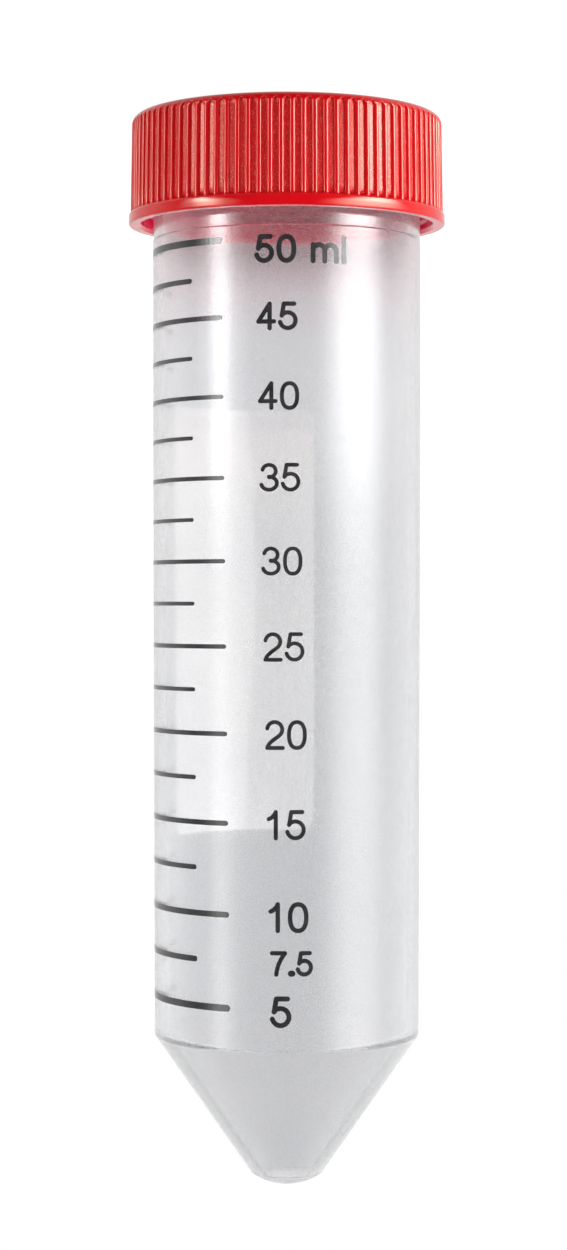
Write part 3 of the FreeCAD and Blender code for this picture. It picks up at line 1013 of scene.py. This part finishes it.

# %% [markdown]
# ## Stage
# The floor is pale and plain. To the camera it glows white with its shading mixed in, so the
# object's shadow stays. Seen through the tube it has a painted shadow near the cap, with a
# painted reflection of the cap's red, and is whiter further out. The world is white behind the
# object, and a dim studio in front of it, which is what its glossy parts mirror. Light that
# has met a matt thing inside the tube, such as the panel's back, finds the world brighter.

# %% Floor and world
DIM, BRIGHT = 0.06, 0.9          # the studio in front, and the white behind
LEVEL = 0.3                      # plain light from all sides
THROUGH = 0.71                   # what the tube shows of the white behind it
NEAR = 0.2                       # and of the floor beside the cap, a painted shadow
INWARD = 3.6                     # what matt things inside the tube get
# the second colour is a painted reflection of the cap's red on the floor near it
WHITE, PAINTED_CAP_RED = (1.0, 1.0, 1.0), (1.0, 0.70, 0.735)
FAR = 3000                       # half the floor's width


def make_floor():
    corners = [(-FAR, -FAR, 0), (FAR, -FAR, 0), (FAR, FAR, 0), (-FAR, FAR, 0)]
    floor = make_object("floor", corners, [(0, 1, 2, 3)])
    paper = bpy.data.materials.new("white_paper")
    pen = blank(paper)
    path = pen.add("ShaderNodeLightPath").node.outputs
    camera, through = path["Is Camera Ray"], path["Is Transmission Ray"]
    bounced = pen.math("MINIMUM", path["Glossy Depth"], 1.0)
    place = pen.add("ShaderNodeTexCoord", out="Object")
    away = pen.add("ShaderNodeVectorMath", place, operation="LENGTH", out="Value")
    mirrored = pen.ramp(pen.split(place)[1], -0.1, 0.1, DIM, BRIGHT)
    # painted shadow: seen through the tube, the floor is dark near the cap and whiter further out
    seen = pen.times(pen.smooth(away, 0.10, 0.19, NEAR, BRIGHT),
                     pen.smooth(away, 0.3, 1.5, 1.0, THROUGH / BRIGHT))
    strength = pen.times(through, blend(pen, bounced, seen, mirrored, "FLOAT"))
    strength = blend(pen, camera, strength, BRIGHT, "FLOAT")
    # painted reflection: near the cap, the floor seen through the tube is tinted with the cap's red
    painted_red_share = pen.times(through, pen.smooth(away, 0.08, 0.28, 1.0, 0.0))
    glow = pen.add("ShaderNodeEmission", blend(pen, painted_red_share, WHITE, PAINTED_CAP_RED), strength)
    colour = blend(pen, through, (0.7, 0.7, 0.7), (0.02, 0.02, 0.02))
    matt = pen.add("ShaderNodeBsdfDiffuse", blend(pen, camera, colour, (0.32, 0.32, 0.32)))
    pen.add("ShaderNodeOutputMaterial", pen.add("ShaderNodeAddShader", matt, glow))
    floor.data.materials.append(paper)
    floor.visible_glossy = False


def make_world():
    world = bpy.data.worlds.new("studio")
    bpy.context.scene.world = world
    pen = blank(world)
    path = pen.add("ShaderNodeLightPath").node.outputs
    bounced = pen.math("MINIMUM", path["Glossy Depth"], 1.0)
    inside = pen.math("MINIMUM", path["Diffuse Depth"], 1.0)
    _, back, up = pen.split(pen.add("ShaderNodeTexCoord", out="Object"))
    mirrored = pen.times(pen.ramp(back, -0.3, 0.3, DIM, BRIGHT), pen.ramp(up, 0.2, 0.6, 1.0, 0.6))
    plain = pen.ramp(back, 0.1, 0.6, LEVEL, BRIGHT)
    strength = blend(pen, path["Is Glossy Ray"], plain, mirrored, "FLOAT")
    through = blend(pen, bounced, THROUGH, mirrored, "FLOAT")
    through = blend(pen, inside, through, INWARD, "FLOAT")
    strength = blend(pen, path["Is Transmission Ray"], strength, through, "FLOAT")
    strength = blend(pen, path["Is Camera Ray"], strength, 1.0, "FLOAT")
    pen.add("ShaderNodeOutputWorld", pen.add("ShaderNodeBackground", WHITE, strength))


make_floor()
make_world()

# %% [markdown]
# ## Light
# Two tall soft lamps stand close by, one on each side of the figures. Their shapes matter more
# than their power, because glossy round walls mirror them: the narrow lamp draws the crisp
# bright band left of the figures, and the broad one the soft band to the right of them.
# Each has a bright core on a dimmer foot, and its strength follows the height of what it
# faces. It flares for the flange, and for the ribs the core is pinched and leans aside.

# %% Lamps
LAMP_DISTANCE = 130
LAMP_LOW, LAMP_HIGH = -70, 170   # past the floor, which the cap doesn't mirror


def add_lamp(name, angle, wide, base, hot, ribs, core, foot, lean):
    """A soft lamp facing the axis, hottest at the cap's end and fading towards its sides."""
    data = bpy.data.lights.new(name, "AREA")
    data.shape, data.size, data.size_y = "RECTANGLE", wide * MM, (LAMP_HIGH - LAMP_LOW) * MM
    data.energy = math.pi * data.size * data.size_y
    pen = blank(data)
    side, up, _ = pen.split(pen.add("ShaderNodeNewGeometry", out="Parametric"))
    height = pen.ramp(up, 0.0, 1.0, LAMP_LOW, LAMP_HIGH)
    low = pen.smooth(height, -20.0, 4.0, 1.0, 0.0)
    off = pen.math("ABSOLUTE", pen.minus(pen.minus(side, 0.5), pen.times(low, lean)))
    off = pen.times(off, pen.plus(1.0, pen.times(low, 0.8)))
    along = pen.plus(pen.ramp(height, 0.0, 110.0, *base),
                     pen.smooth(height, -8.0, 60.0, hot, 0.0))
    along = pen.times(along, pen.smooth(height, -22.0, -7.0, ribs, 1.0))
    along = pen.times(along, pen.smooth(height, -55.0, -25.0, 0.35, 1.0))
    flare = pen.times(pen.smooth(height, -13.0, -8.0, 0.0, 0.9),
                      pen.smooth(height, -6.0, 2.0, 1.0, 0.0))
    along = pen.times(along, pen.plus(flare, 1.0))
    across = pen.plus(pen.times(pen.smooth(off, 0.0, core, 1.0, 0.0), 1.0 - foot),
                      pen.smooth(off, 0.1, 0.5, foot, 0.0))
    glow = pen.add("ShaderNodeEmission", WHITE, pen.times(along, across))
    pen.add("ShaderNodeOutputLight", glow)
    lamp = bpy.data.objects.new(name, data)
    turned, middle = math.radians(angle), (LAMP_LOW + LAMP_HIGH) / 2
    outward = Vector((-math.sin(turned), -math.cos(turned), 0)) * LAMP_DISTANCE
    lamp.location = (outward + Vector((0, 0, middle))) * MM
    lamp.rotation_euler = (-outward).to_track_quat("-Z", "Y").to_euler()
    lamp.visible_camera = lamp.visible_transmission = False
    bpy.context.scene.collection.objects.link(lamp)


add_lamp("narrow_lamp", angle=-55, wide=140, base=(-0.4, 3.3), hot=11.2,
         ribs=1.4, core=0.25, foot=0.26, lean=0.13)
add_lamp("broad_lamp", angle=58, wide=220, base=(4.5, 3.9), hot=6.0,
         ribs=2.6, core=0.36, foot=0.3, lean=-0.10)

# %% [markdown]
# ## Camera
# The tube is shown the way it is read, cap uppermost, while it stands on its cap. So the camera
# looks level at the middle of the scale and is rolled half a turn. A long lens keeps the sides
# nearly parallel, and a small lens shift sets the part in the middle of the frame.

# %% Camera
def place_camera():
    data = bpy.data.cameras.new("camera")
    data.lens, data.sensor_width = 80.8, 36.0
    data.shift_x, data.shift_y = -0.0026, -0.0176
    data.clip_start, data.clip_end = 0.01, 20.0
    camera = bpy.data.objects.new("camera", data)
    camera.location = Vector((0, -305.0, 52.7)) * MM
    camera.rotation_euler = (math.radians(-90), 0.0, math.radians(180))
    bpy.context.scene.collection.objects.link(camera)
    bpy.context.scene.camera = camera


place_camera()
bpy.context.scene.view_settings.view_transform = "Standard"
